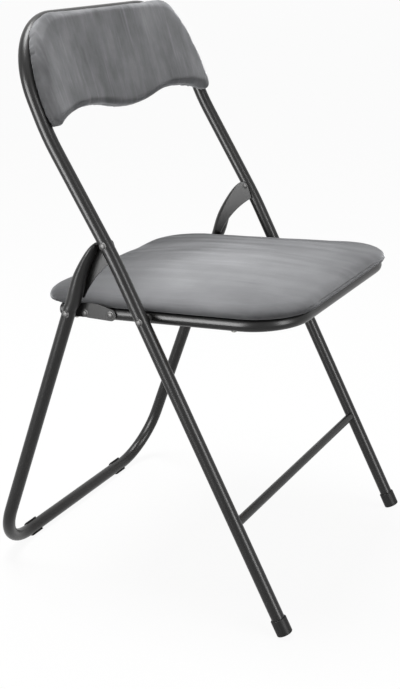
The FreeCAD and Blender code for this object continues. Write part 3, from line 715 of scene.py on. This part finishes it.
# %% Backrest cover
BACK_LEAN = radians(23.4)
BACK_VOXEL = 2.5 * MM
BACK_DRAWN_IN = 1.0 * MM
BACK_SWELL = 2.4 * MM
BACK_PROUD = 1.5 * MM
BACK_TOP_PROUD = 4.0 * MM
BACK_PASSES_BEFORE = 1
BACK_PASSES_AFTER = 3
PANEL_DEPTH = 1.7 * MM
PANEL_FACING = 0.05
RIM_TUCK = 3 * MM
TUCK_FROM = -0.2
TUCK_SPAN = 0.9
TUBE_FACING = 0.2
TUBE_GAP = 0.6 * MM
TUBE_NEAR = 7 * MM
back_up = Vector((0, sin(BACK_LEAN), cos(BACK_LEAN)))
backward = Vector((0, cos(BACK_LEAN), -sin(BACK_LEAN)))


def tuck_rim(piece):
    """Draws the rear rim of the cover in, as cloth that is folded behind the panel."""
    for vert in piece.data.vertices:
        turned_back = vert.normal.dot(backward)
        share = min(max((turned_back - TUCK_FROM) / TUCK_SPAN, 0.0), 1.0)
        vert.co -= (vert.normal - backward * turned_back) * (RIM_TUCK * share)


def lay_on_tube(piece):
    """Brings the back of the cover close to the tube wherever the tube is near behind it."""
    tube = BVHTree.FromObject(nodes["front_frame_tube"], bpy.context.evaluated_depsgraph_get())
    for vert in piece.data.vertices:
        if vert.normal.dot(backward) > TUBE_FACING:
            distance = tube.ray_cast(vert.co - backward * TUBE_NEAR, backward, 2 * TUBE_NEAR)[3]
            if distance is not None:
                vert.co += backward * (distance - TUBE_NEAR - TUBE_GAP)


def backrest_cover():
    """Velvet cover of the backrest."""
    solids = ["backrest_cushion", "backrest_panel"]
    net = copy_of("backrest_cushion")
    for vert in net.verts:
        if vert.normal.dot(backward) > PANEL_FACING:
            vert.co += backward * PANEL_DEPTH
    piece = even_net("backrest_cover", net, BACK_VOXEL)
    smooth_and_shift(piece, BACK_PASSES_BEFORE, -BACK_DRAWN_IN)
    blow_up(piece, BACK_SWELL)
    smooth_and_shift(piece, BACK_PASSES_AFTER, 0.0)
    sides = reach(solids, ACROSS)
    ends = reach(solids, back_up)
    stretch_to(piece, ACROSS, sides[0] - BACK_PROUD, sides[1] + BACK_PROUD)
    stretch_to(piece, back_up, ends[0] - BACK_PROUD, ends[1] + BACK_TOP_PROUD)
    tuck_rim(piece)
    lay_on_tube(piece)
    finish_cover(piece, BACK_VELVET, "front_frame", solids)
    return piece


cover = backrest_cover()
print("backrest cover:", len(cover.data.polygons), "quads")

# %% [markdown]
# ## Rivets
# The rivets are turned pieces: a round dome on a wider flange with a groove between them, which is
# what draws the dark ring round each head. Half of the section is drawn as points, from the tip of
# the dome along the axis, and spun round the axis. Place and length come from the solid rivet.

# %% Spun rivets
DOME_RADIUS = 4.1 * MM
DOME_HEIGHT = 1.5 * MM
DOME_STEPS = 6
GROOVE_RADIUS = 3.7 * MM
GROOVE_DEPTH = 1.65 * MM
FLANGE_RADIUS = 5.2 * MM
FLANGE_DEPTH = 1.75 * MM
BEVEL_WIDTH = 0.5 * MM
BEVEL_DEPTH = 0.2 * MM
HEAD_HEIGHT = 2.3 * MM
TAIL_RADIUS = 4.0 * MM
TAIL_HEIGHT = 1.2 * MM
TAIL_WAIST = 0.9
TAIL_TIP = 0.5
PIVOT_SHANK = 2.9 * MM
STOP_SHANK = 2.4 * MM
SPIN_STEPS = 40
SEAM_WITHIN = 0.005 * MM
SHARP_FROM = radians(40)
# Name of the rivet, its body, its shank's radius and whether it has a formed tail
RIVETS = (
    ("back_pivot_rivet", "front_frame", PIVOT_SHANK, True),
    ("seat_pivot_rivet", "front_frame", PIVOT_SHANK, True),
    ("link_rivet", "rear_frame", PIVOT_SHANK, False),
    ("link_pin", "seat", PIVOT_SHANK, False),
    ("stop_pin", "seat", STOP_SHANK, False),
)


def rivet_section(length, shank, tail):
    """Half section: places from the tip inwards, and radii."""
    angles = [radians(90) * step / DOME_STEPS for step in range(DOME_STEPS + 1)]
    dome = [(DOME_HEIGHT * (1 - cos(angle)), DOME_RADIUS * sin(angle)) for angle in angles]
    head = [
        (GROOVE_DEPTH, GROOVE_RADIUS),
        (FLANGE_DEPTH, FLANGE_RADIUS - BEVEL_WIDTH),
        (FLANGE_DEPTH + BEVEL_DEPTH, FLANGE_RADIUS),
        (HEAD_HEIGHT, FLANGE_RADIUS),
        (HEAD_HEIGHT, shank),
    ]
    if not tail:
        return dome + head + [(length, shank), (length, 0.0)]
    return dome + head + [
        (length - TAIL_HEIGHT, shank),
        (length - TAIL_HEIGHT, TAIL_RADIUS),
        (length - TAIL_HEIGHT / 2, TAIL_RADIUS * TAIL_WAIST),
        (length, TAIL_RADIUS * TAIL_TIP),
        (length, 0.0),
    ]


def spun_rivet(node, body, shank, tail):
    """A turned rivet in the place of a solid one."""
    low, high = (Vector(corner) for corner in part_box(node))
    middle = (low + high) / 2
    outside = 1 if middle.x > 0 else -1
    tip = Vector((high.x if outside > 0 else low.x, middle.y, middle.z))
    inward = ACROSS * -outside
    net = bmesh.new()
    line = [net.verts.new(tip + inward * place + Vector((0, 0, radius)))
            for place, radius in rivet_section(high.x - low.x, shank, tail)]
    edges = [net.edges.new(pair) for pair in zip(line, line[1:])]
    bmesh.ops.spin(net, geom=line + edges, cent=tip, axis=ACROSS, angle=radians(360), steps=SPIN_STEPS,
                   use_merge=True)
    bmesh.ops.remove_doubles(net, verts=net.verts, dist=SEAM_WITHIN)
    bmesh.ops.recalc_face_normals(net, faces=net.faces)
    piece = piece_from("spun_" + node, net)
    piece.data.shade_smooth()
    piece.data.set_sharp_from_angle(angle=SHARP_FROM)
    wear(piece, FINISHES["rivet_metal"])
    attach(piece, body)
    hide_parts(node)


for name, body, shank, tail in RIVETS:
    for side in SIDES:
        spun_rivet(f"{name}_{side}", body, shank, tail)
print("rivets:", len(RIVETS) * len(SIDES), "spun")

# %% [markdown]
# ## The studio
# The chair stands on a plain white floor. The floor and the world look white to the camera and in
# reflections, while one wide lamp overhead and the surroundings light the chair at a plain level.
# Two tall boxes, to the left and the right of the camera, are seen in gloss only: they draw the long
# highlights on the tubes and add no light to the cloth.

# %% Floor, world and lamps
FLOOR_SIZE = 40.0
FLOOR_WHITE = 0.94
FLOOR_ROUGHNESS = 0.35
PAPER = (0.9, 0.9, 0.9, 1.0)
WHITE = (1.0, 1.0, 1.0, 1.0)
WORLD_LIGHT = 0.16
DIRECT_RAYS = ("Is Camera Ray", "Is Glossy Ray", "Is Transmission Ray")


def seen_directly(tree):
    """1 for rays from the camera, from gloss and through glass, and 0 for others."""
    path = tree.nodes.new("ShaderNodeLightPath")
    from_camera, from_gloss, through = (Wire(tree, path.outputs[name]) for name in DIRECT_RAYS)
    return from_camera.larger(from_gloss.larger(through))


def floor():
    """White floor that keeps a soft shadow."""
    paper = Finish("white_floor")
    paper.set(Base_Color=PAPER, Roughness=FLOOR_ROUGHNESS)
    glow = paper.node("Emission", Color=WHITE, Strength=1.0)
    plain = Wire(paper.tree, paper.shader.outputs[0])
    mix = paper.tree.nodes.new("ShaderNodeMixShader")
    for socket, value in zip(mix.inputs, (seen_directly(paper.tree) * FLOOR_WHITE, plain, glow)):
        paper.tree.links.new(value.socket, socket)
    paper.tree.links.new(mix.outputs[0], paper.tree.nodes["Material Output"].inputs["Surface"])
    net = bmesh.new()
    bmesh.ops.create_grid(net, x_segments=1, y_segments=1, size=FLOOR_SIZE / 2)
    piece = piece_from("floor", net)
    wear(piece, paper.material)


def world():
    """White surroundings that give a part of the light."""
    surroundings = bpy.data.worlds.new("studio")
    surroundings.use_nodes = True
    scene.world = surroundings
    tree = surroundings.node_tree
    strength = seen_directly(tree) * (1.0 - WORLD_LIGHT) + WORLD_LIGHT
    background = tree.nodes["Background"]
    background.inputs["Color"].default_value = WHITE
    tree.links.new(strength.socket, background.inputs["Strength"])


def lamp(name, place, aim, width, height, watts, gloss_only):
    """Soft box that looks from one point at another."""
    data = bpy.data.lights.new(name, "AREA")
    data.shape = "RECTANGLE"
    data.size = width
    data.size_y = height
    data.energy = watts
    box = bpy.data.objects.new(name, data)
    box.location = place
    box.rotation_mode = "QUATERNION"
    box.rotation_quaternion = (Vector(aim) - Vector(place)).to_track_quat("-Z", "Y")
    box.visible_camera = False
    box.visible_diffuse = not gloss_only
    scene.collection.objects.link(box)


floor()
world()
lamp("overhead", place=(0.0, 0.4, 2.5), aim=(0.0, 0.0, 0.4), width=1.0, height=1.0, watts=67.0,
     gloss_only=False)
lamp("left_box", place=(-1.8, 0.68, 0.62), aim=(-0.2, 0.0, 0.62), width=0.9, height=1.6, watts=80.0,
     gloss_only=True)
lamp("right_box", place=(-0.65, -1.8, 0.9), aim=(0.0, 0.0, 0.9), width=0.5, height=1.7, watts=40.0,
     gloss_only=True)
scene.view_settings.view_transform = "Standard"
print("studio: floor, world and three lamps")
